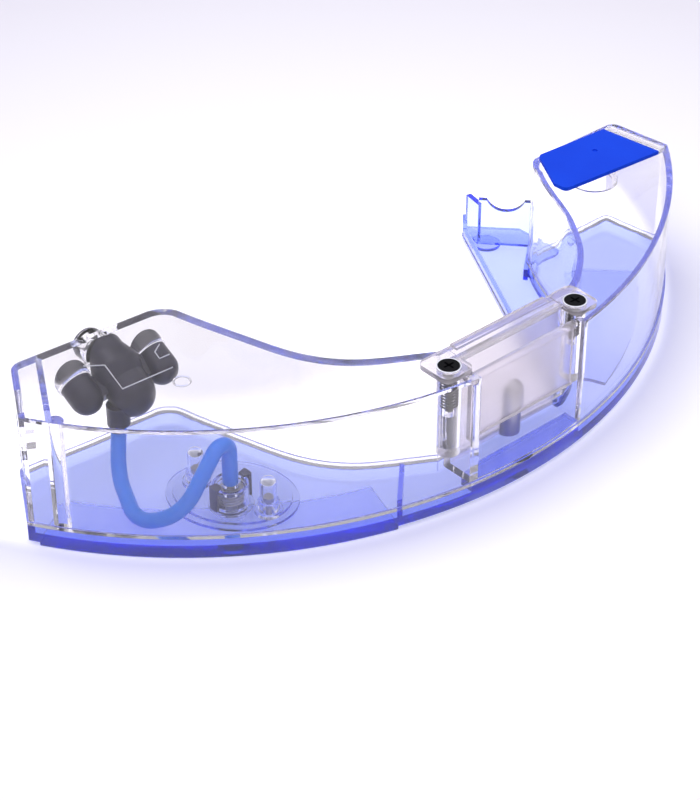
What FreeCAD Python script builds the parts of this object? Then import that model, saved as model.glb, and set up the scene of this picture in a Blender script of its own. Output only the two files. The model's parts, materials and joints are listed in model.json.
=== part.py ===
import FreeCAD, Part
import math
import os

V = FreeCAD.Vector

# ---------------------------------------------------------------- driving dimensions (mm)
SX, SY = 5.8, 99.9          # plan offset from the centre of the outer arc to the centre of the bounding box
R_SHELL = 158.2             # outside radius of the clear shell
R_BASE = 158.8              # outside radius of the base rim and of the shell lip
T = 2.0                     # shell wall
TOP = 46.0                  # top face of the shell
TOP_T = 2.0                 # thickness of the top plate
RIM_Z = 6.9                 # joint line between base rim and shell
FLOOR_0, FLOOR_1 = 1.2, 3.2 # base floor plate, underside and upper face
LIP_T = 1.2                 # height of the lip round the foot of the shell

# plan corners of the shell, measured from the centre of the outer arc
L_OUT = (-134.5, -83.6)
L_IN = (-121.1, -60.1)
L_END = (-73.0, -64.0)
R_END = (82.0, -76.4)
R_IN = (120.0, -76.6)
R_OUT = (122.8, -99.75)
L_CURVE = [(-66.1, -69.2), (-63.8, -78.1), (-58.5, -95.7), (-52.7, -112.1), (-43.6, -124.3), (-30.7, -133.0), (-21.0, -138.6)]
R_CURVE = [(31.5, -140.2), (37.6, -137.3), (45.6, -131.5), (52.9, -124.5), (59.1, -116.2), (64.1, -108.2), (67.9, -100.2), (72.0, -91.2), (77.0, -82.4)]
BACK_Y = -140.2             # straight inner wall behind the latch recess

# latch recess in the outer wall
REC_X0, REC_X1 = -20.6, 23.4
REC_Y = -145.2              # face of the recess back wall
REC_Z0 = 8.6                # floor of the recess
SCREW_L = (-25.6, -148.0)
SCREW_R = (27.4, -148.2)
COVER_T = 1.8               # latch cover plate above the shell top

# filler opening
FILL = (99.2, -88.0)
FILL_R = 7.0

# port on the left end wall
PORT_X, PORT_Z = -89.2, 37.0
EAR_DX = 13.3
PORT_TILT = (0.0, -0.81, -0.5864)   # the port's lobes lean down from the end wall

# outlet in the left floor
OUT = (-81.4, -113.0)
PLATE_C = (-77.6, -108.8)           # centre of the oval plate
PLATE_A, PLATE_B = 20.8, 16.6       # its half axes
PLATE_DIR = (0.513, -0.858)         # its long axis, along the line of the two posts
POST_A = (-82.6, -97.8)
POST_B = (-75.2, -123.2)

HOSE_R = 2.4


# ---------------------------------------------------------------- helpers
def p3(p, z=0.0):
    return V(p[0], p[1], z)


def arc_at(p, r):
    """The point of a circle round the origin in the direction of p."""
    d = math.hypot(p[0], p[1])
    return (p[0] * r / d, p[1] * r / d)


def prism(points, z0, z1):
    w = Part.makePolygon([p3(p, z0) for p in points] + [p3(points[0], z0)])
    return Part.Face(w).extrude(V(0, 0, z1 - z0))


def box(x0, x1, y0, y1, z0, z1):
    return Part.makeBox(x1 - x0, y1 - y0, z1 - z0, V(x0, y0, z0))


def cyl(r, h, p, d=(0, 0, 1)):
    return Part.makeCylinder(r, h, V(*p), V(*d))


def cone(r0, r1, h, p, d=(0, 0, 1)):
    return Part.makeCone(r0, r1, h, V(*p), V(*d))


def norm_in(pts, i, t):
    """Offset point i of an open polyline to its right-hand side."""
    a = pts[max(i - 1, 0)]
    b = pts[min(i + 1, len(pts) - 1)]
    dx, dy = b[0] - a[0], b[1] - a[1]
    d = math.hypot(dx, dy)
    return (pts[i][0] + t * dy / d, pts[i][1] - t * dx / d)


def cross_pt(a, b, c, d):
    """Intersection of the lines ab and cd."""
    x1, y1, x2, y2, x3, y3, x4, y4 = *a, *b, *c, *d
    den = (x1 - x2) * (y3 - y4) - (y1 - y2) * (x3 - x4)
    k = ((x1 - x3) * (y3 - y4) - (y1 - y3) * (x3 - x4)) / den
    return (x1 + k * (x2 - x1), y1 + k * (y2 - y1))


def circle_hit(a, b, r):
    """Where the line from a towards b leaves a circle of radius r round the origin."""
    dx, dy = b[0] - a[0], b[1] - a[1]
    d = math.hypot(dx, dy)
    dx, dy = dx / d, dy / d
    q = a[0] * dx + a[1] * dy
    k = -q + math.sqrt(q * q - (a[0] ** 2 + a[1] ** 2 - r * r))
    return (a[0] + k * dx, a[1] + k * dy)


def shift_line(a, b, t):
    """The line ab moved by t to its right-hand side."""
    dx, dy = b[0] - a[0], b[1] - a[1]
    d = math.hypot(dx, dy)
    ox, oy = t * dy / d, -t * dx / d
    return (a[0] + ox, a[1] + oy), (b[0] + ox, b[1] + oy)


def spline(pts, z):
    c = Part.BSplineCurve()
    c.interpolate([p3(p, z) for p in pts])
    return c.toShape()


def outline(t, r, z=0.0, corner=3.0):
    """Closed crescent outline, moved inwards by t (outwards when negative), outer arc of radius r."""
    # walked clockwise seen from above: left end wall, inner curve, right end wall, outer arc
    lc = [norm_in(L_CURVE, i, t) for i in range(len(L_CURVE))]
    rc = [norm_in(R_CURVE, i, t) for i in range(len(R_CURVE))]
    # the back wall runs straight between the two curves
    back_a, back_b = (-21.0, BACK_Y + 0.0), (31.5, BACK_Y + 0.0)
    a0, a1 = shift_line(L_OUT, L_IN, t)
    e0, e1 = shift_line(L_IN, L_END, t)
    f0, f1 = shift_line(R_END, R_IN, t)
    g0, g1 = shift_line(R_IN, R_OUT, t)
    p_in_l = cross_pt(a0, a1, e0, e1)
    p_in_r = cross_pt(f0, f1, g0, g1)
    p_out_l = circle_hit(p_in_l, (p_in_l[0] - (L_IN[0] - L_OUT[0]), p_in_l[1] - (L_IN[1] - L_OUT[1])), r)
    p_out_r = circle_hit(p_in_r, (p_in_r[0] + (R_OUT[0] - R_IN[0]), p_in_r[1] + (R_OUT[1] - R_IN[1])), r)
    # the end wall meets the inner curve with a short chamfer
    el = (L_END[0] - 0.6 * t, e0[1] + (e1[1] - e0[1]) * ((L_END[0] - 0.6 * t) - e0[0]) / (e1[0] - e0[0]))
    fr = (R_END[0] + 0.5 * t, f0[1] + (f1[1] - f0[1]) * ((R_END[0] + 0.5 * t) - f0[0]) / (f1[0] - f0[0]))
    edges = []
    c = corner - t if t > 0 else corner
    c = max(c, 0.6)

    def chop(p, q, s):
        dx, dy = q[0] - p[0], q[1] - p[1]
        d = math.hypot(dx, dy)
        return (p[0] + dx * s / d, p[1] + dy * s / d)

    def line(p, q):
        edges.append(Part.makeLine(p3(p, z), p3(q, z)))

    def round_corner(before, p, after, s):
        a, b = chop(p, before, s), chop(p, after, s)
        m = ((a[0] + b[0]) / 2, (a[1] + b[1]) / 2)
        k = 0.42
        mid = (m[0] + (p[0] - m[0]) * k, m[1] + (p[1] - m[1]) * k)
        edges.append(Part.Arc(p3(a, z), p3(mid, z), p3(b, z)).toShape())
        return a, b

    # left facet and corner
    s = c
    a = chop(p_in_l, p_out_l, s)
    line(p_out_l, a)
    _, b = round_corner(p_out_l, p_in_l, el, s)
    line(b, el)
    edges.append(Part.Arc(p3(el, z), p3(((el[0] + lc[0][0]) / 2 + 0.7, (el[1] + lc[0][1]) / 2 + 0.7), z), p3(lc[0], z)).toShape())
    edges.append(spline(lc, z))
    line(lc[-1], rc[0])
    edges.append(spline(rc, z))
    edges.append(Part.Arc(p3(rc[-1], z), p3(((fr[0] + rc[-1][0]) / 2 - 0.7, (fr[1] + rc[-1][1]) / 2 + 0.7), z), p3(fr, z)).toShape())
    a = chop(p_in_r, fr, s)
    line(fr, a)
    _, b = round_corner(fr, p_in_r, p_out_r, s)
    line(b, p_out_r)
    edges.append(Part.Arc(p3(p_out_r, z), V(0, -r, z), p3(p_out_l, z)).toShape())
    w = Part.Wire(Part.__sortEdges__(edges))
    return Part.Face(w)


def solid(t, r, z0, z1, corner=3.0):
    return outline(t, r, z0, corner).extrude(V(0, 0, z1 - z0))


def fuse(first, *rest):
    s = first.fuse(list(rest)) if rest else first
    return s.removeSplitter()


def sector(r0, r1, a0, a1, z0, z1):
    """Ring sector between two angles measured from -Y towards +X, degrees."""
    def at(r, a):
        a = math.radians(a)
        return (r * math.sin(a), -r * math.cos(a))
    m = (a0 + a1) / 2
    e = [Part.makeLine(p3(at(r0, a0), z0), p3(at(r1, a0), z0)),
         Part.Arc(p3(at(r1, a0), z0), p3(at(r1, m), z0), p3(at(r1, a1), z0)).toShape(),
         Part.makeLine(p3(at(r1, a1), z0), p3(at(r0, a1), z0)),
         Part.Arc(p3(at(r0, a1), z0), p3(at(r0, m), z0), p3(at(r0, a0), z0)).toShape()]
    return Part.Face(Part.Wire(e)).extrude(V(0, 0, z1 - z0))


def wall(a, b, t, z0, z1):
    """Upright plate of thickness t centred on the plan line ab."""
    dx, dy = b[0] - a[0], b[1] - a[1]
    d = math.hypot(dx, dy)
    ox, oy = -dy / d * t / 2, dx / d * t / 2
    return prism([(a[0] + ox, a[1] + oy), (b[0] + ox, b[1] + oy), (b[0] - ox, b[1] - oy), (a[0] - ox, a[1] - oy)], z0, z1)


def tube_route(pts, radius):
    """Round tube along straight runs joined by tangent arcs."""
    P = [V(*p) for p in pts]
    edges = []
    start = P[0]
    for i in range(1, len(P) - 1):
        a, b, c = P[i - 1], P[i], P[i + 1]
        u = (a - b)
        w = (c - b)
        lu, lw = u.Length, w.Length
        u.normalize()
        w.normalize()
        ang = math.acos(max(-1, min(1, u.dot(w))))      # inside angle
        half_turn = (math.pi - ang) / 2
        run = 0.45 * min(lu, lw)
        r = run / math.tan(half_turn)
        print("bend radius %.1f mm" % r)
        t1, t2 = b + u * run, b + w * run
        bis = (u + w)
        bis.normalize()
        centre = b + bis * (r / math.sin(ang / 2))
        mid = centre - bis * r
        edges.append(Part.makeLine(start, t1))
        edges.append(Part.Arc(t1, mid, t2).toShape())
        start = t2
    edges.append(Part.makeLine(start, P[-1]))
    path = Part.Wire(edges)
    d = P[1] - P[0]
    prof = Part.Wire([Part.makeCircle(radius, P[0], d)])
    return path.makePipeShell([prof], True, False)


def lobe(p, d, s0, s1, r0, r1):
    """Round-ended plug: a cone from radius r0 at s0 to r1 at s1 along d from p, closed by a dome of radius r1."""
    k = math.sqrt(0.5)
    e = [Part.makeLine(V(0, 0, s0), V(r0, 0, s0)), Part.makeLine(V(r0, 0, s0), V(r1, 0, s1)),
         Part.Arc(V(r1, 0, s1), V(r1 * k, 0, s1 + r1 * k), V(0, 0, s1 + r1)).toShape(),
         Part.makeLine(V(0, 0, s1 + r1), V(0, 0, s0))]
    b = Part.Face(Part.Wire(e)).revolve(V(0, 0, 0), V(0, 0, 1), 360)
    b.Placement = FreeCAD.Placement(V(*p), FreeCAD.Rotation(V(0, 0, 1), V(*d)))
    return b


os.makedirs("parts", exist_ok=True)


def save(name, shape):
    shape = shape.copy()
    shape.translate(V(SX, SY, 0))
    shape.exportStep("parts/%s.step" % name)
    bb = shape.BoundBox
    print("%-16s solids %d  vol %.1f  x %.1f..%.1f y %.1f..%.1f z %.1f..%.1f valid %s" % (
        name, len(shape.Solids), shape.Volume, bb.XMin, bb.XMax, bb.YMin, bb.YMax, bb.ZMin, bb.ZMax, shape.isValid()))


# ---------------------------------------------------------------- clear shell
shell = solid(0, R_SHELL, RIM_Z, TOP)
shell = shell.cut(solid(T, R_SHELL - T, RIM_Z - 1, TOP - TOP_T, 3.0))
lip = solid(-0.6, R_BASE, RIM_Z, RIM_Z + LIP_T, 3.0).cut(solid(1.0, R_SHELL - 1.0, RIM_Z - 1, TOP, 3.0))
# recess: two cheeks, a back wall and a floor, then the opening itself
cheeks = box(REC_X0 - T, REC_X1 + T, -160, REC_Y + T, RIM_Z, TOP)
inside = solid(0.05, R_SHELL - 0.05, RIM_Z, TOP)
cheeks = cheeks.common(inside)
opening = box(REC_X0, REC_X1, -170, REC_Y, REC_Z0, TOP + 1)
bosses = []
for (x, y), z0 in ((SCREW_L, 17.0), (SCREW_R, 20.0)):
    bosses.append(cyl(3.6, TOP - z0 - 1, (x, y, z0)))
# end pocket partition and its column
part_a, part_b = (-112.4, -62.0), (-129.0, -91.2)
partition = wall(part_a, part_b, 1.8, RIM_Z, TOP - 1)
column = cyl(2.6, TOP - RIM_Z - 1, (-126.6, -90.4, RIM_Z)).common(inside)
# filler neck under the top plate
neck = cyl(FILL_R + 1.5, 10, (FILL[0], FILL[1], TOP - 11)).cut(cyl(FILL_R, 12, (FILL[0], FILL[1], TOP - 12)))
# spigot outside the left end wall, the filled ring round it and two ear sockets inside it
wall_y = -62.0
interior = solid(T, R_SHELL - T, RIM_Z, TOP - TOP_T, 3.0)


def wall_at(x):
    """Inside face of the left end wall at x."""
    return L_IN[1] + (L_END[1] - L_IN[1]) * (x - L_IN[0]) / (L_END[0] - L_IN[0]) - T


def along(p, s, d=PORT_TILT):
    return (p[0] + d[0] * s, p[1] + d[1] * s, p[2] + d[2] * s)


port_boss = fuse(cyl(6.4, 1.8, (PORT_X - 0.8, wall_y - 0.8, PORT_Z), (0, 1, 0)), cyl(5.6, 7.6, (PORT_X - 0.8, wall_y - 0.8, PORT_Z), (0, 1, 0)))
EAR_TILT = (0.0, -0.9, -0.4359)
EAR_L = (PORT_X - EAR_DX, wall_at(PORT_X - EAR_DX), PORT_Z - 3.4)
EAR_R = (PORT_X + EAR_DX, wall_at(PORT_X + EAR_DX), PORT_Z - 3.1)
ears = []
for e in (EAR_L, EAR_R):
    sock = cyl(5.7, 8.4, along(e, -6.0, EAR_TILT), EAR_TILT).common(interior)
    ears.append(sock)
# floor of the recess
rec_floor = box(REC_X0 - T, REC_X1 + T, -160, REC_Y + T, RIM_Z, REC_Z0).common(inside)
shell = fuse(shell, lip, cheeks.common(inside), rec_floor, partition.common(inside), column, port_boss, *bosses, *ears)
shell = shell.cut(opening)
shell = shell.cut(Part.makeCompound([
    cyl(1.25, 30, (SCREW_L[0], SCREW_L[1], 31.0)),
    cyl(1.25, 30, (SCREW_R[0], SCREW_R[1], 33.0)),
    cyl(FILL_R, 8, (FILL[0], FILL[1], TOP - 6)),
    cyl(3.0, 30, (PORT_X - 0.8, wall_y - 12, PORT_Z), (0, 1, 0)),
    cyl(1.15, 4.3, (REC_X0 - 1.5, -151.8, 42.6), (1, 0, 0)),
    cyl(1.15, 4.3, (REC_X1 - 2.8, -151.8, 42.6), (1, 0, 0)),
]))
shell = fuse(shell, neck)
# pocket windows in the short left facet
fx, fy = (L_IN[0] + L_OUT[0]) / 2, (L_IN[1] + L_OUT[1]) / 2
ux, uy = (L_IN[0] - L_OUT[0]), (L_IN[1] - L_OUT[1])
ul = math.hypot(ux, uy)
ux, uy = ux / ul, uy / ul
def facet_box(s0, s1, d0, d1, z0, z1):
    """Block on the left facet: s along it from its middle, d inwards from its face."""
    nx, ny = uy, -ux
    q = [(fx + ux * s + nx * d, fy + uy * s + ny * d) for s, d in ((s0, d0), (s1, d0), (s1, d1), (s0, d1))]
    return prism(q, z0, z1)
shell = shell.cut(facet_box(-6.5, 5.0, -1, 3, 31.0, 39.5))
shell = shell.cut(facet_box(-6.5, 5.0, -1, 3, 18.0, 27.5))
shell = fuse(shell, facet_box(-3.5, 2.0, 1.5, 5.0, 27.6, 30.8))
save("shell", shell)

# ---------------------------------------------------------------- blue base
base = solid(-0.6, R_BASE, FLOOR_0, RIM_Z)
base = base.cut(solid(2.2, R_SHELL - 2.2, FLOOR_1, RIM_Z + 1))
# tongue on the inner side of the right limb
tongue = prism([(30.0, -139.0), (78.5, -46.1), (83.5, -41.4), (97.5, -56.0), (98.5, -77.5), (84.0, -82.0), (66.0, -108.0), (52.0, -128.0), (38.0, -139.0)], FLOOR_0, FLOOR_1 - 0.2)
edge_rib = wall((31.4, -138.2), (79.3, -46.6), 1.6, FLOOR_0, 5.6)
edge_rib2 = wall((79.0, -46.9), (83.4, -42.3), 1.6, FLOOR_0, 8.0)
# cradle: upright web across the tongue with a round seat in its top, and a side web
cr_a, cr_b = (79.2, -53.2), (92.0, -67.4)
cradle = wall(cr_a, cr_b, 2.0, FLOOR_0, 21.0)
dx, dy = (cr_b[0] - cr_a[0]), (cr_b[1] - cr_a[1])
dl = math.hypot(dx, dy)
dx, dy = dx / dl, dy / dl
mx, my = (cr_a[0] + cr_b[0]) / 2 - 0.0 * dx, (cr_a[1] + cr_b[1]) / 2
seat = cyl(7.4, 30, (mx + dy * 15, my - dx * 15, 24.2), (-dy, dx, 0))
cradle = cradle.cut(seat)
side_web = wall((81.0, -46.2), (79.4, -54.2), 2.0, FLOOR_0, 19.0)
low_rib = wall((92.0, -67.6), (74.6, -82.0), 1.6, FLOOR_0, 7.2)
# dividing rib across the channel left of the recess
divide = wall((-46.6, -149.6), (-33.6, -136.6), 1.5, FLOOR_1 - 0.2, 9.6)
# feet
foot_l = sector(138.0, R_BASE, -57.0, -17.6, 0, FLOOR_0 + 0.2).common(solid(-0.6, R_BASE, 0, FLOOR_0 + 0.2))
foot_r = sector(128.0, 150.0, 20.0, 46.0, 0, FLOOR_0 + 0.2).common(solid(1.0, R_BASE - 1, 0, FLOOR_0 + 0.2))
foot_t = cyl(5.0, FLOOR_0 + 0.2, (83.0, -54.0, 0))
tray = prism([(REC_X0 - 1.0, -161), (REC_X1 + 1.0, -161), (REC_X1 + 1.0, -150.0), (REC_X0 - 1.0, -150.0)], FLOOR_0, RIM_Z).common(solid(-0.6, R_BASE, FLOOR_0, RIM_Z))
base = fuse(base, tongue, edge_rib, edge_rib2, cradle, side_web, low_rib, divide.common(solid(2.0, R_SHELL - 2.0, 0, 20)), foot_l, foot_r, foot_t, tray)
posts_holes = [cyl(1.0, 6, (q[0], q[1], FLOOR_0 + 0.15)) for q in (POST_A, POST_B)]
base = base.cut(Part.makeCompound([cyl(5.0, 10, (OUT[0], OUT[1], -1))] + posts_holes))
save("base", base)

# ---------------------------------------------------------------- latch cover with its two screws
z0 = TOP


def tab(x0, x1, r):
    """Cover tab with its upright corners rounded."""
    b = box(x0, x1, -153.6, -140.4, z0, z0 + COVER_T)
    up = [e for e in b.Edges if abs(e.tangentAt(e.FirstParameter).z) > 0.99]
    return b.makeFillet(r, up)


cover = fuse(tab(REC_X0 - 11.0, REC_X0 + 0.6, 2.6),
             tab(REC_X1 - 0.6, REC_X1 + 9.6, 2.6),
             box(REC_X0 - 2, REC_X1 + 2, -147.2, -140.4, z0, z0 + COVER_T - 0.4),
             box(REC_X0 + 2.6, REC_X1 - 2.6, -143.4, -140.4, z0, z0 + COVER_T + 0.5))
cover = cover.cut(Part.makeCompound([cyl(3.7, 5, (SCREW_L[0], SCREW_L[1], z0 + 0.5)), cyl(3.7, 5, (SCREW_R[0], SCREW_R[1], z0 + 0.5)),
                  cyl(1.6, 5, (SCREW_L[0], SCREW_L[1], z0 - 1)), cyl(1.6, 5, (SCREW_R[0], SCREW_R[1], z0 - 1))]))
save("latch_cover", cover)

screws = []
for (x, y), zb in ((SCREW_L, 33.0), (SCREW_R, 35.0)):
    head = cyl(3.3, 1.6, (x, y, z0 + 0.5)).cut(box(x - 1.9, x + 1.9, y - 0.35, y + 0.35, z0 + 1.2, z0 + 3)).cut(box(x - 0.35, x + 0.35, y - 1.9, y + 1.9, z0 + 1.2, z0 + 3))
    screws.append(fuse(head, cyl(1.2, z0 + 0.6 - zb, (x, y, zb))))
save("latch_screws", Part.makeCompound(screws))

# ---------------------------------------------------------------- release lever on two stub pins, and the steel catch pin behind it
PIV = (-151.8, 42.6)        # y, z of the lever's pivot line
lever = box(REC_X0 + 0.4, REC_X1 - 0.4, -152.6, -151.0, 21.0, 43.6)
lever = fuse(lever, box(REC_X0 + 0.4, REC_X1 - 0.4, -153.2, -151.0, 21.0, 22.2),
             cyl(1.4, REC_X1 - REC_X0 - 0.8, (REC_X0 + 0.4, PIV[0], PIV[1]), (1, 0, 0)),
             cyl(1.08, REC_X1 - REC_X0 + 2.4, (REC_X0 - 1.2, PIV[0], PIV[1]), (1, 0, 0)))
save("release_lever", lever)
pin = fuse(cyl(3.8, 15.6, (3.6, REC_Y, REC_Z0)), Part.makeSphere(3.8, V(3.6, REC_Y, REC_Z0 + 15.6)))
pin = pin.common(box(-10, 12, -160, REC_Y, REC_Z0, 40))
save("catch_pin", pin)

# ---------------------------------------------------------------- rubber port body behind the left end wall
C0 = (PORT_X - 0.6, wall_at(PORT_X), PORT_Z + 0.6)
barrel = fuse(lobe(C0, PORT_TILT, -5.0, 14.6, 5.4, 7.4), lobe(C0, PORT_TILT, -1.0, 5.2, 5.6, 8.2))
HOSE_TOP = (-95.2, -76.6, 20.4)
spout = cyl(3.6, 7.0, HOSE_TOP)
lobes = []
for e, n in ((EAR_L, 8.2), (EAR_R, 8.6)):
    lobes.append(lobe(e, EAR_TILT, 2.4, n, 5.2, 5.2))
yk = along(EAR_L, 7.0, EAR_TILT)
yoke = Part.makeBox(2 * EAR_DX, 7.0, 7.0, V(0, -3.5, -3.5))
yoke.Placement = FreeCAD.Placement(V(yk[0], yk[1], yk[2]), FreeCAD.Rotation(V(1, 0, 0), math.degrees(math.asin(0.5864))))
port = fuse(barrel, spout, yoke, *lobes)
# trimmed by the end wall and the top plate, clear of the two ear sockets
wall_in = prism([(-140, wall_at(-140)), (-60, wall_at(-60)), (-60, 20), (-140, 20)], -20, 80)
port = port.cut(wall_in).cut(box(-160, -20, -160, 0, TOP - TOP_T, TOP + 40))
port = port.cut(cyl(5.75, 8.45, along(EAR_L, -6.0, EAR_TILT), EAR_TILT)).cut(cyl(5.75, 8.45, along(EAR_R, -6.0, EAR_TILT), EAR_TILT))
port = port.cut(cyl(3.0, 12.0, (PORT_X - 0.8, wall_y + 1.0, PORT_Z), (0, -1, 0)))
port = port.cut(cyl(2.5, 13.0, HOSE_TOP, (-5.2, -5.4, -12.6)))     # clear of the hose as it leaves the spout
port = port.removeSplitter()
save("port_body", port)
seal = cyl(5.2, 0.9, (PORT_X - 0.8, wall_y + 6.8, PORT_Z), (0, 1, 0)).cut(cyl(3.0, 3.0, (PORT_X - 0.8, wall_y + 6.0, PORT_Z), (0, 1, 0)))
save("port_seal", seal)

# ---------------------------------------------------------------- outlet set into the left floor
z = FLOOR_1


def oval(a, b, h, zz):
    """Oval disc with its long axis along the line of the posts."""
    e = Part.Ellipse(V(0, 0, 0), a, b).toShape()
    d = Part.Face(Part.Wire([e])).extrude(V(0, 0, h))
    d.Placement = FreeCAD.Placement(V(PLATE_C[0], PLATE_C[1], zz), FreeCAD.Rotation(V(0, 0, 1), math.degrees(math.atan2(PLATE_DIR[1], PLATE_DIR[0]))))
    return d


plate = fuse(oval(PLATE_A, PLATE_B, 1.0, z), oval(PLATE_A - 2.2, PLATE_B - 2.2, 0.8, z + 0.9))
plate = plate.common(solid(2.6, R_SHELL - 2.6, 0, 20))
plate = plate.cut(cyl(4.2, 5, (OUT[0], OUT[1], z - 1)))
plate = plate.cut(Part.makeCompound([cyl(1.7, 5, (q[0], q[1], z - 1)) for q in (POST_A, POST_B)]))
save("outlet_plate", plate)
zp = z + 1.7
cup = cyl(5.6, 8.0, (OUT[0], OUT[1], zp)).cut(cyl(4.5, 8.0, (OUT[0], OUT[1], zp + 1.2))).cut(cyl(1.9, 5, (OUT[0], OUT[1], zp - 1)))
cup = fuse(cup, cyl(7.0, 0.8, (OUT[0], OUT[1], zp)).cut(cyl(5.0, 3, (OUT[0], OUT[1], zp - 1))))
save("outlet_cup", cup)
posts = []
for q in (POST_A, POST_B):
    b = fuse(cyl(2.5, 10.6, (q[0], q[1], zp)), Part.makeSphere(2.5, V(q[0], q[1], zp + 10.6)), cyl(4.4, 1.2, (q[0], q[1], zp)), cyl(3.3, 4.4, (q[0], q[1], zp)))
    b = b.cut(cyl(1.75, 11.4, (q[0], q[1], zp - 0.5)))
    posts.append(b)
save("outlet_posts", Part.makeCompound(posts))
oscrews = []
for q in (POST_A, POST_B):
    oscrews.append(fuse(cyl(1.6, 1.4, (q[0], q[1], zp + 4.6)), cyl(0.95, 6.5 + zp - z, (q[0], q[1], z - 1.8))))
save("outlet_screws", Part.makeCompound(oscrews))
nipple = fuse(cyl(2.4, 1.4, (OUT[0], OUT[1], zp + 7.0)), cyl(4.4, 1.0, (OUT[0], OUT[1], zp + 6.2))).cut(cyl(1.3, 10, (OUT[0], OUT[1], zp)))
save("outlet_nipple", nipple)
claw = cyl(7.0, 7.4, (OUT[0], OUT[1], zp + 1.0)).cut(cyl(5.9, 9, (OUT[0], OUT[1], zp)))
keep = fuse(prism([(OUT[0], OUT[1]), (OUT[0] + 12, OUT[1] - 3.2), (OUT[0] + 12, OUT[1] + 3.2)], zp, zp + 12),
            prism([(OUT[0], OUT[1]), (OUT[0] - 12, OUT[1] + 3.2), (OUT[0] - 12, OUT[1] - 3.2)], zp, zp + 12))
claw = claw.common(keep)
hooks = cyl(7.0, 1.0, (OUT[0], OUT[1], zp + 8.4)).common(keep).cut(cyl(4.2, 3, (OUT[0], OUT[1], zp + 8)))
claw = fuse(claw, hooks)
save("outlet_claws", claw)
# the coil's outer shape: a thin sleeve of its wire thickness
save("outlet_spring", cyl(2.8, 3.7, (OUT[0], OUT[1], zp + 2.45)).cut(cyl(2.2, 5, (OUT[0], OUT[1], zp + 2))))
poppet = fuse(cyl(1.8, 6.6, (OUT[0], OUT[1], 0.6)), cyl(2.6, 0.9, (OUT[0], OUT[1], zp + 1.5)))
save("outlet_poppet", poppet)
gasket = cyl(4.9, 2.15, (OUT[0], OUT[1], 1.0)).cut(cyl(2.1, 5, (OUT[0], OUT[1], 0)))
save("drip_gasket", gasket)

# ---------------------------------------------------------------- hose from the port down to the floor and up over into the outlet
HOSE = [HOSE_TOP, (-100.4, -82.0, 7.8), (-108.5, -102.1, 4.9), (-101.2, -115.4, 12.8), (OUT[0], OUT[1], 34.6), (OUT[0], OUT[1], zp + 8.4)]
hose = tube_route(HOSE, HOSE_R)
save("hose", hose)

# ---------------------------------------------------------------- filler flap
FL = [(82.6, -77.6), (112.2, -79.6), (115.25, -102.6), (73.6, -99.2), (73.4, -94.0)]
flap = prism(FL, TOP + 0.3, TOP + 1.7)
vert = [e for e in flap.Edges if abs(e.tangentAt(e.FirstParameter).z) > 0.99]
pick = [e for e in vert if e.CenterOfMass.x < 85]
try:
    flap = flap.makeFillet(2.0, pick)
except Exception as ex:
    print("flap fillet", ex)
plug = cone(FILL_R - 1.5, FILL_R - 0.6, 4.6, (FILL[0], FILL[1], TOP - 4.2))
flap = fuse(flap, plug)
flap = flap.cut(cyl(0.9, 0.7, (FILL[0], FILL[1], TOP + 1.2)))
save("filler_flap", flap)
anchor = prism([(112.79, -79.52), (115.97, -79.1), (119.02, -102.1), (115.85, -102.52)], TOP, TOP + 1.7)
save("flap_anchor", anchor)
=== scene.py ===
import bpy
import bmesh
import json
import math
from mathutils import Matrix, Vector

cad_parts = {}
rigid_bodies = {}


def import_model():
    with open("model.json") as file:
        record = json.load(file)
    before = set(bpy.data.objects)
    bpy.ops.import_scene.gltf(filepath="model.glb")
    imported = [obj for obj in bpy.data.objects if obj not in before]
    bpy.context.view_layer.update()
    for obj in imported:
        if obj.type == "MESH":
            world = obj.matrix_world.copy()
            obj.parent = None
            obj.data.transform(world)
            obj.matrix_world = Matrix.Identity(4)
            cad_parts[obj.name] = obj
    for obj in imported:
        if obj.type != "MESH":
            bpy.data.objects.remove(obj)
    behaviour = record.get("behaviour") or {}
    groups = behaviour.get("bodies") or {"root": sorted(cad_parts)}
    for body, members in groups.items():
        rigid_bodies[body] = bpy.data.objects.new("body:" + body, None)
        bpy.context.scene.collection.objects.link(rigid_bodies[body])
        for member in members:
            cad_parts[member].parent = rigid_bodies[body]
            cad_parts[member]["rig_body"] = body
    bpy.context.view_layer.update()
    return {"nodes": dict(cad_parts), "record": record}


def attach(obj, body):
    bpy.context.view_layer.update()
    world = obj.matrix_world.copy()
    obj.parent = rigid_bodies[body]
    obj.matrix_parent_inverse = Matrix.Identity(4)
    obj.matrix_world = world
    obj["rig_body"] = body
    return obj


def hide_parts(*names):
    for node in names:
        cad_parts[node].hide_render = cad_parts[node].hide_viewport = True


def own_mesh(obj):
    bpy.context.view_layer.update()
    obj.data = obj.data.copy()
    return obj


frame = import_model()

MM = 0.001
SX, SY = 5.8, 99.9          # plan offset of the outer arc's centre


def P(x, y, z):
    """Point given in mm from the centre of the outer arc."""
    return Vector(((x + SX) * MM, (y + SY) * MM, z * MM))


# ------------------------------------------------------------------ camera
cam_data = bpy.data.cameras.new("camera")
cam = bpy.data.objects.new("camera", cam_data)
bpy.context.scene.collection.objects.link(cam)
right = Vector((0.750774, -0.660558, -0.00078))
up = Vector((0.387714, 0.43971, 0.810144))
back = Vector((-0.534804, -0.608538, 0.586231))
m = Matrix((right, up, back)).transposed().to_4x4()
m.translation = Vector((-0.406907, -0.444463, 0.435739))
cam.matrix_world = m
cam_data.sensor_width = 36.0
cam_data.lens = 103.2346
cam_data.clip_start = 0.01
cam_data.clip_end = 20.0
bpy.context.scene.camera = cam


# ------------------------------------------------------------------ materials
def material(name):
    mat = bpy.data.materials.new(name)
    mat.use_nodes = True
    nt = mat.node_tree
    nt.nodes.clear()
    out = nt.nodes.new("ShaderNodeOutputMaterial")
    return mat, nt, out


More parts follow.
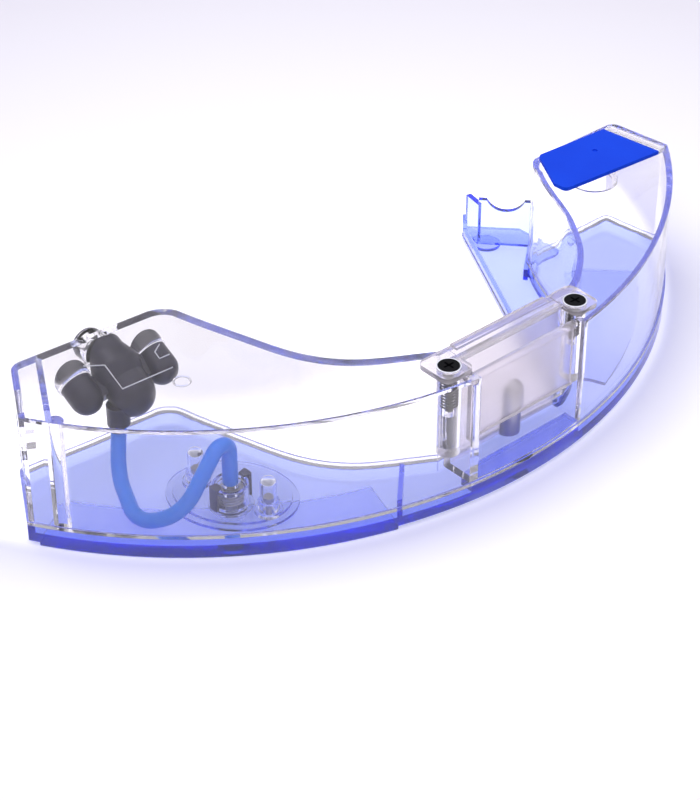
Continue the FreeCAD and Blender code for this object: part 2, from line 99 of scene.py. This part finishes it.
def principled(nt, out, **sockets):
    b = nt.nodes.new("ShaderNodeBsdfPrincipled")
    for k, v in sockets.items():
        b.inputs[k.replace("_", " ")].default_value = v
    nt.links.new(b.outputs["BSDF"], out.inputs["Surface"])
    return b


def noise_bump(nt, b, scale, strength, distance, detail=3.0, rough=0.5):
    tc = nt.nodes.new("ShaderNodeTexCoord")
    n = nt.nodes.new("ShaderNodeTexNoise")
    n.inputs["Scale"].default_value = scale
    n.inputs["Detail"].default_value = detail
    n.inputs["Roughness"].default_value = rough
    bump = nt.nodes.new("ShaderNodeBump")
    bump.inputs["Strength"].default_value = strength
    bump.inputs["Distance"].default_value = distance
    nt.links.new(tc.outputs["Object"], n.inputs["Vector"])
    nt.links.new(n.outputs["Fac"], bump.inputs["Height"])
    nt.links.new(bump.outputs["Normal"], b.inputs["Normal"])
    return tc, n, bump


def clear_plastic(name, tint, density, absorb, rough=0.02, ior=1.47, haze=0.0, clear=1.0):
    mat, nt, out = material(name)
    b = principled(nt, out, Base_Color=(*tint, 1), Roughness=rough, IOR=ior, Transmission_Weight=clear)
    tc, n, bump = noise_bump(nt, b, 90.0, 0.05, 0.0004, 2.0)
    # a faint haze that comes and goes, like moulded plastic that has been handled
    if haze > 0:
        n2 = nt.nodes.new("ShaderNodeTexNoise")
        n2.inputs["Scale"].default_value = 35.0
        n2.inputs["Detail"].default_value = 5.0
        ramp = nt.nodes.new("ShaderNodeMapRange")
        ramp.inputs["From Min"].default_value = 0.35
        ramp.inputs["From Max"].default_value = 0.75
        ramp.inputs["To Min"].default_value = rough
        ramp.inputs["To Max"].default_value = rough + haze
        nt.links.new(tc.outputs["Object"], n2.inputs["Vector"])
        nt.links.new(n2.outputs["Fac"], ramp.inputs["Value"])
        nt.links.new(ramp.outputs["Result"], b.inputs["Roughness"])
    if density > 0:
        v = nt.nodes.new("ShaderNodeVolumeAbsorption")
        v.inputs["Color"].default_value = (*absorb, 1)
        v.inputs["Density"].default_value = density
        nt.links.new(v.outputs["Volume"], out.inputs["Volume"])
    return mat


MAT = {}
MAT["clear_shell"] = clear_plastic("clear_shell", (1.0, 0.99, 1.0), 5.0, (0.55, 0.5, 0.95), 0.015, 1.44, haze=0.03, clear=0.98)
MAT["blue_clear"] = clear_plastic("blue_clear", (0.88, 0.92, 1.0), 195.0, (0.0, 0.17, 0.99), 0.03, 1.42, haze=0.05, clear=0.93)
MAT["frosted_clear"] = clear_plastic("frosted_clear", (0.96, 0.925, 0.975), 4.0, (0.75, 0.5, 0.7), 0.16, 1.38, haze=0.08, clear=0.82)
MAT["clear_fittings"] = clear_plastic("clear_fittings", (0.98, 0.985, 1.0), 60.0, (0.1, 0.25, 0.97), 0.03, 1.44)


def rubber(name, colour, colour2, rough, bump_scale, bump_strength, coat=0.0, subsurface=0.0, spec=0.5):
    mat, nt, out = material(name)
    b = principled(nt, out, Roughness=rough, IOR=1.5, Coat_Weight=coat, Coat_Roughness=0.25)
    tc, n, bump = noise_bump(nt, b, bump_scale, bump_strength, 0.0002, 5.0)
    n2 = nt.nodes.new("ShaderNodeTexNoise")
    n2.inputs["Scale"].default_value = 60.0
    n2.inputs["Detail"].default_value = 4.0
    mix = nt.nodes.new("ShaderNodeMix")
    mix.data_type = "RGBA"
    mix.inputs["A"].default_value = (*colour, 1)
    mix.inputs["B"].default_value = (*colour2, 1)
    nt.links.new(tc.outputs["Object"], n2.inputs["Vector"])
    nt.links.new(n2.outputs["Fac"], mix.inputs["Factor"])
    nt.links.new(mix.outputs["Result"], b.inputs["Base Color"])
    b.inputs["Specular IOR Level"].default_value = spec
    if subsurface > 0:
        b.inputs["Subsurface Weight"].default_value = subsurface
        b.inputs["Subsurface Radius"].default_value = (0.3, 0.5, 1.0)
        b.inputs["Subsurface Scale"].default_value = 0.002
    return mat


MAT["black_rubber"] = rubber("black_rubber", (0.010, 0.007, 0.028), (0.026, 0.019, 0.058), 0.36, 1400.0, 0.02, 0.1, spec=0.35)
MAT["blue_hose"] = rubber("blue_hose", (0.006, 0.19, 1.0), (0.02, 0.24, 1.0), 0.32, 700.0, 0.1, 0.0, 0.3, 0.35)
MAT["blue_flap"] = rubber("blue_flap", (0.001, 0.040, 0.60), (0.002, 0.060, 0.72), 0.6, 1500.0, 0.2, 0.0, 0.0, 0.15)
MAT["black_screw"] = rubber("black_screw", (0.002, 0.002, 0.003), (0.006, 0.006, 0.008), 0.35, 2500.0, 0.15, spec=0.12)
MAT["dark_clip"] = rubber("dark_clip", (0.03, 0.035, 0.12), (0.06, 0.06, 0.16), 0.35, 900.0, 0.1)
MAT["white_plastic"] = rubber("white_plastic", (0.75, 0.77, 0.85), (0.82, 0.84, 0.9), 0.4, 900.0, 0.1)


def steel(name):
    mat, nt, out = material(name)
    b = principled(nt, out, Base_Color=(0.5, 0.48, 0.52, 1), Metallic=1.0, Roughness=0.38)
    noise_bump(nt, b, 1200.0, 0.15, 0.0002, 4.0)
    return mat


MAT["steel"] = steel("steel")

SLOT = {p["node"]: p["material_slot"] for p in frame["record"]["subparts"]}


# ------------------------------------------------------------------ refined copies of the moulded pieces
def refined(node, bevel, segments=2, angle=28.0, dissolve=0.25, lift=0.0, gap=None):
    """A copy of a CAD node with its sharp edges rounded as the mould leaves them, standing lift mm off what it lies on."""
    src = frame["nodes"][node]
    me = src.data.copy()
    bm = bmesh.new()
    bm.from_mesh(me)
    bmesh.ops.remove_doubles(bm, verts=bm.verts, dist=2e-6)
    bmesh.ops.dissolve_limit(bm, angle_limit=math.radians(dissolve), verts=bm.verts, edges=bm.edges, delimit={"NORMAL"})
    for v in bm.verts:
        v.co.z += lift * MM
        if gap is not None:
            v.co = gap(v.co)
    bm.to_mesh(me)
    bm.free()
    me.attributes.remove(me.attributes["custom_normal"]) if "custom_normal" in me.attributes else None
    ob = bpy.data.objects.new(node + "_form", me)
    bpy.context.scene.collection.objects.link(ob)
    for p in me.polygons:
        p.use_smooth = True
    mod = ob.modifiers.new("bevel", "BEVEL")
    mod.width = bevel * MM
    mod.segments = segments
    mod.limit_method = "ANGLE"
    mod.angle_limit = math.radians(angle)
    mod.harden_normals = True
    mod.use_clamp_overlap = True
    mod.loop_slide = True
    dg = bpy.context.evaluated_depsgraph_get()
    done = bpy.data.meshes.new_from_object(ob.evaluated_get(dg))
    ob.modifiers.clear()
    ob.data = done
    done.materials.clear()
    done.materials.append(MAT[SLOT[node]])
    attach(ob, src["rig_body"])
    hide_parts(node)
    return ob


for name, node in frame["nodes"].items():
    node.data.materials.clear()
    node.data.materials.append(MAT[SLOT[name]])

def seam(co):
    """The hair-wide seam between the rim and the shell."""
    if 6.85 * MM < co.z < 6.95 * MM:
        co.z -= 0.08 * MM
    return co


refined("shell", 0.35)
refined("base", 0.4, gap=seam)
refined("latch_cover", 0.35, gap=lambda c: Vector((c.x, c.y, c.z + 0.06 * MM)) if c.z < 46.01 * MM else c)
refined("release_lever", 0.3)
refined("outlet_plate", 0.25, lift=0.06)
refined("outlet_cup", 0.2, lift=0.12)
refined("outlet_posts", 0.2, lift=0.12)
refined("outlet_claws", 0.2, lift=0.14)
refined("flap_anchor", 0.3, lift=0.05)
refined("filler_flap", 0.3)
refined("port_body", 0.5, gap=lambda c: Vector((c.x, c.y - 0.1 * MM, min(c.z, 43.85 * MM))))

# ------------------------------------------------------------------ small moulded details too fine for the solid model
def own(me, name, slot, body="tank"):
    """Link a drawn piece, let it ride a body and name its material slot."""
    ob = bpy.data.objects.new(name, me)
    bpy.context.scene.collection.objects.link(ob)
    for p in me.polygons:
        p.use_smooth = True
    me.materials.append(MAT[slot])
    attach(ob, body)
    return ob


def tube(name, pts, r, slot, sides=10, closed=False, body="tank"):
    """A round bead of radius r mm swept along pts (metres)."""
    n = len(pts)
    bm = bmesh.new()
    rings = []
    side = None
    for i, p in enumerate(pts):
        a = pts[(i - 1) % n] if closed or i else pts[0]
        b = pts[(i + 1) % n] if closed or i < n - 1 else pts[-1]
        t = (b - a).normalized()
        if side is None:
            side = t.cross(Vector((0, 0, 1)) if abs(t.z) < 0.9 else Vector((1, 0, 0))).normalized()
        side = (side - t * side.dot(t)).normalized()
        w = t.cross(side)
        rings.append([bm.verts.new(p + (side * math.cos(2 * math.pi * k / sides) + w * math.sin(2 * math.pi * k / sides)) * r * MM) for k in range(sides)])
    for i in range(n if closed else n - 1):
        u, v = rings[i], rings[(i + 1) % n]
        for k in range(sides):
            bm.faces.new((u[k], u[(k + 1) % sides], v[(k + 1) % sides], v[k]))
    if not closed:
        bm.faces.new(list(reversed(rings[0])))
        bm.faces.new(rings[-1])
    bmesh.ops.recalc_face_normals(bm, faces=bm.faces)
    me = bpy.data.meshes.new(name)
    bm.to_mesh(me)
    bm.free()
    return own(me, name, slot, body)


def circle(x, y, z, r, n=48):
    return [P(x + r * math.cos(2 * math.pi * k / n), y + r * math.sin(2 * math.pi * k / n), z) for k in range(n)]


def weld_line():
    """The whitish weld between rim and shell: the shell's foot face again as a thin skin in the seam."""
    me = frame["nodes"]["shell"].data.copy()
    bm = bmesh.new()
    bm.from_mesh(me)
    bmesh.ops.remove_doubles(bm, verts=bm.verts, dist=2e-6)
    bm.normal_update()
    drop = [f for f in bm.faces if not (f.normal.z < -0.99 and abs(f.calc_center_median().z - 6.9 * MM) < 0.02 * MM)
            or (abs(f.calc_center_median().x - (1.4 + SX) * MM) < 22 * MM)]
    bmesh.ops.delete(bm, geom=drop, context="FACES")
    for v in bm.verts:
        v.co.z = 6.87 * MM
    top = bmesh.ops.extrude_face_region(bm, geom=bm.faces[:])
    for g in top["geom"]:
        if isinstance(g, bmesh.types.BMVert):
            g.co.z = 6.85 * MM
    bmesh.ops.recalc_face_normals(bm, faces=bm.faces)
    out = bpy.data.meshes.new("weld_line")
    bm.to_mesh(out)
    bm.free()
    ob = own(out, "weld_line", "frosted_clear")
    out.materials.clear()
    out.materials.append(MAT["weld_white"])
    for p in out.polygons:
        p.use_smooth = False
    return ob


MAT["weld_white"] = clear_plastic("weld_white", (0.95, 0.93, 1.0), 0.0, (1, 1, 1), 0.2, 1.2, clear=0.88)
weld_line()
# painted highlights: white rings drawn where the two counterbores of the latch cover catch the light
tube("cover_ring_l", circle(-25.6, -148.0, 47.86, 3.62), 0.2, "white_plastic", closed=True)
tube("cover_ring_r", circle(27.4, -148.2, 47.86, 3.62), 0.2, "white_plastic", closed=True)
# threads the two cover screws have cut in their bosses
for tag, (tx, ty), za in (("l", (-25.6, -148.0), 33.6), ("r", (27.4, -148.2), 35.6)):
    turns = []
    for k in range(8 * 24 + 1):
        a = 2 * math.pi * k / 24
        turns.append(P(tx + 1.5 * math.cos(a), ty + 1.5 * math.sin(a), za + 1.05 * k / 24))
    tube("screw_thread_" + tag, turns, 0.22, "black_screw", sides=6)
# satin skin on the back wall of the latch recess
bpy.ops.mesh.primitive_cube_add(size=1.0)
skin = bpy.context.object
skin.name = "recess_satin"
skin.data.name = "recess_satin"
lo, hi = P(-20.3, -145.36, 8.9), P(23.1, -145.26, 45.7)
skin.data.transform(Matrix.Translation((lo + hi) / 2) @ Matrix.Diagonal((*(hi - lo), 1)))
skin.data.materials.append(MAT["frosted_clear"])
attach(skin, "tank")
# coil under the hose nipple, wound in the outlet cup
coil = []
for k in range(4 * 28 + 1):
    a = 2 * math.pi * k / 28
    coil.append(P(-81.4 + 3.7 * math.cos(a), -113.0 + 3.7 * math.sin(a), 6.7 + 1.05 * k / 28))
tube("outlet_coil", coil, 0.28, "steel", sides=8)
# the outlet's spring, drawn as a fixed coil; the real one shortens as the poppet lifts
wire = []
for k in range(4 * 24 + 1):
    a = 2 * math.pi * k / 24
    wire.append(P(-81.4 + 2.5 * math.cos(a), -113.0 + 2.5 * math.sin(a), 7.68 + 3.1 * k / 96))
spring = tube("outlet_spring_wire", wire, 0.27, "steel", sides=8)
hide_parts("outlet_spring")
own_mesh(spring)
# the port's clamp frame: thin white beads under the top plate, painted highlights for its bright edge
FRAME_A = [(-103.9, -73.0, 43.5), (-98.8, -76.8, 43.5), (-102.1, -90.0, 43.5), (-84.3, -91.0, 43.5)]
FRAME_B = [(-79.9, -78.8, 43.5), (-83.4, -81.1, 43.5), (-84.5, -84.8, 43.5), (-80.9, -85.0, 43.5)]
tube("port_frame_a", [P(*q) for q in FRAME_A], 0.2, "white_plastic", sides=8)
tube("port_frame_b", [P(*q) for q in FRAME_B], 0.2, "white_plastic", sides=8)
# gate mark on the top plate
tube("gate_mark", circle(-88.0, -100.3, 46.02, 2.5), 0.3, "clear_shell", closed=True)

# ------------------------------------------------------------------ stage and light
bpy.ops.mesh.primitive_plane_add(size=6.0, location=(0, 0, -0.0003))
floor = bpy.context.object
floor.name = "floor"
mat, nt, out = material("floor_paper")
b = principled(nt, out, Roughness=0.6)
# painted shade: the paper's colour darkens away from the middle, standing in for light that falls off; painted light: a
# blue tint on the paper close to the rim, standing in for the blue light the base throws on it
tc = nt.nodes.new("ShaderNodeTexCoord")
dist = nt.nodes.new("ShaderNodeVectorMath")
dist.operation = "DISTANCE"
dist.inputs[1].default_value = (SX * MM, SY * MM, 0)
# painted light: a blue tint on the paper in a ring just outside the rim
painted_blue_glow = nt.nodes.new("ShaderNodeMapRange")
painted_blue_glow.interpolation_type = "SMOOTHSTEP"
painted_blue_glow.inputs["From Min"].default_value = 0.150
painted_blue_glow.inputs["From Max"].default_value = 0.192
painted_blue_glow.inputs["To Min"].default_value = 1.0
painted_blue_glow.inputs["To Max"].default_value = 0.0
far = nt.nodes.new("ShaderNodeVectorMath")
far.operation = "LENGTH"
# painted shade: the paper's colour gets darker further from the middle
painted_falloff = nt.nodes.new("ShaderNodeMapRange")
painted_falloff.inputs["From Min"].default_value = 0.10
painted_falloff.inputs["From Max"].default_value = 0.34
painted_falloff.inputs["To Min"].default_value = 0.0
painted_falloff.inputs["To Max"].default_value = 1.0
m1 = nt.nodes.new("ShaderNodeMix")
m1.data_type = "RGBA"
m1.inputs["A"].default_value = (0.965, 0.955, 0.985, 1)
m1.inputs["B"].default_value = (0.68, 0.66, 0.74, 1)
m2 = nt.nodes.new("ShaderNodeMix")
m2.data_type = "RGBA"
m2.inputs["B"].default_value = (0.76, 0.76, 1.0, 1)
nt.links.new(tc.outputs["Object"], dist.inputs[0])
nt.links.new(tc.outputs["Object"], far.inputs[0])
nt.links.new(dist.outputs["Value"], painted_blue_glow.inputs["Value"])
nt.links.new(far.outputs["Value"], painted_falloff.inputs["Value"])
nt.links.new(painted_falloff.outputs["Result"], m1.inputs["Factor"])
nt.links.new(m1.outputs["Result"], m2.inputs["A"])
inner = nt.nodes.new("ShaderNodeMapRange")
inner.interpolation_type = "SMOOTHSTEP"
inner.inputs["From Min"].default_value = 0.105
inner.inputs["From Max"].default_value = 0.145
ends = nt.nodes.new("ShaderNodeMapRange")
ends.inputs["From Min"].default_value = 0.03
ends.inputs["From Max"].default_value = 0.08
ends.inputs["To Min"].default_value = 1.0
ends.inputs["To Max"].default_value = 0.0
fs = nt.nodes.new("ShaderNodeSeparateXYZ")
k1 = nt.nodes.new("ShaderNodeMath")
k1.operation = "MULTIPLY"
k2 = nt.nodes.new("ShaderNodeMath")
k2.operation = "MULTIPLY"
nt.links.new(tc.outputs["Object"], fs.inputs["Vector"])
nt.links.new(fs.outputs["Y"], ends.inputs["Value"])
nt.links.new(dist.outputs["Value"], inner.inputs["Value"])
nt.links.new(painted_blue_glow.outputs["Result"], k1.inputs[0])
nt.links.new(inner.outputs["Result"], k1.inputs[1])
nt.links.new(k1.outputs["Value"], k2.inputs[0])
nt.links.new(ends.outputs["Result"], k2.inputs[1])
nt.links.new(k2.outputs["Value"], m2.inputs["Factor"])
nt.links.new(m2.outputs["Result"], b.inputs["Base Color"])
# painted light: the floor under the tank emits light, standing in for the lit table shining up through the blue base
lo = nt.nodes.new("ShaderNodeMapRange")
lo.interpolation_type = "SMOOTHSTEP"
lo.inputs["From Min"].default_value = 0.070
lo.inputs["From Max"].default_value = 0.095
hi = nt.nodes.new("ShaderNodeMapRange")
hi.interpolation_type = "SMOOTHSTEP"
hi.inputs["From Min"].default_value = 0.153
hi.inputs["From Max"].default_value = 0.163
hi.inputs["To Min"].default_value = 1.0
hi.inputs["To Max"].default_value = 0.0
k3 = nt.nodes.new("ShaderNodeMath")
k3.operation = "MULTIPLY"
k4 = nt.nodes.new("ShaderNodeMath")
k4.operation = "MULTIPLY"
k5 = nt.nodes.new("ShaderNodeMath")
k5.operation = "MULTIPLY"
k5.inputs[1].default_value = 1.0
# painted light: the floor's glow made stronger towards +X
side = nt.nodes.new("ShaderNodeMapRange")
side.inputs["From Min"].default_value = 0.03
side.inputs["From Max"].default_value = 0.09
side.inputs["To Min"].default_value = 0.58
side.inputs["To Max"].default_value = 0.95
nt.links.new(fs.outputs["X"], side.inputs["Value"])
nt.links.new(side.outputs["Result"], k5.inputs[1])
nt.links.new(dist.outputs["Value"], lo.inputs["Value"])
nt.links.new(dist.outputs["Value"], hi.inputs["Value"])
nt.links.new(lo.outputs["Result"], k3.inputs[0])
nt.links.new(hi.outputs["Result"], k3.inputs[1])
nt.links.new(k3.outputs["Value"], k4.inputs[0])
far_end = nt.nodes.new("ShaderNodeMapRange")
far_end.inputs["From Min"].default_value = 0.066
far_end.inputs["From Max"].default_value = 0.09
far_end.inputs["To Min"].default_value = 1.0
far_end.inputs["To Max"].default_value = 0.0
nt.links.new(fs.outputs["Y"], far_end.inputs["Value"])
nt.links.new(far_end.outputs["Result"], k4.inputs[1])
nt.links.new(k4.outputs["Value"], k5.inputs[0])
# painted light: the floor glows white under the tank
b.inputs["Emission Color"].default_value = (1, 1, 1, 1)
nt.links.new(k5.outputs["Value"], b.inputs["Emission Strength"])
floor.data.materials.append(mat)

world = bpy.data.worlds.new("studio")
bpy.context.scene.world = world
world.use_nodes = True
bg = world.node_tree.nodes["Background"]
bg.inputs["Color"].default_value = (0.975, 0.965, 1.0, 1)
# bright overhead, dimmer low on the far side so the top plate doesn't glare
wn = world.node_tree
wc = wn.nodes.new("ShaderNodeTexCoord")
sep = wn.nodes.new("ShaderNodeSeparateXYZ")
ramp = wn.nodes.new("ShaderNodeValToRGB")
els = ramp.color_ramp.elements
els[0].position, els[0].color = 0.0, (0.48, 0.48, 0.48, 1)
els[1].position, els[1].color = 1.0, (0.92, 0.92, 0.92, 1)
for pos, v in ((0.30, 0.46), (0.55, 0.40), (0.80, 0.80)):
    e = els.new(pos)
    e.color = (v, v, v, 1)
dot = wn.nodes.new("ShaderNodeVectorMath")
dot.operation = "DOT_PRODUCT"
dot.inputs[1].default_value = (0.535, 0.609, 0.586)
flag = wn.nodes.new("ShaderNodeMapRange")
flag.interpolation_type = "SMOOTHSTEP"
flag.inputs["From Min"].default_value = 0.80
flag.inputs["From Max"].default_value = 0.95
flag.inputs["To Min"].default_value = 2.0
flag.inputs["To Max"].default_value = 0.75
mul = wn.nodes.new("ShaderNodeMath")
mul.operation = "MULTIPLY"
wn.links.new(wc.outputs["Generated"], sep.inputs["Vector"])
wn.links.new(sep.outputs["Z"], ramp.inputs["Fac"])
wn.links.new(wc.outputs["Generated"], dot.inputs[0])
wn.links.new(dot.outputs["Value"], flag.inputs["Value"])
wn.links.new(ramp.outputs["Color"], mul.inputs[0])
wn.links.new(flag.outputs["Result"], mul.inputs[1])
wn.links.new(mul.outputs["Value"], bg.inputs["Strength"])


def area(name, loc, target, size, power, colour=(1, 1, 1)):
    d = bpy.data.lights.new(name, "AREA")
    d.shape = "RECTANGLE"
    d.size, d.size_y = size
    d.energy = power
    d.color = colour
    o = bpy.data.objects.new(name, d)
    bpy.context.scene.collection.objects.link(o)
    o.location = loc
    o.rotation_euler = (Vector(target) - Vector(loc)).to_track_quat("-Z", "Y").to_euler()
    return o


area("top_soft", (-0.5, 0.5, 1.3), (0, 0, 0), (0.8, 0.8), 2.2)

sc = bpy.context.scene
sc.cycles.max_bounces = 32
sc.cycles.transmission_bounces = 32
sc.cycles.glossy_bounces = 32
sc.cycles.diffuse_bounces = 8
sc.cycles.transparent_max_bounces = 32
sc.view_settings.view_transform = "Standard"
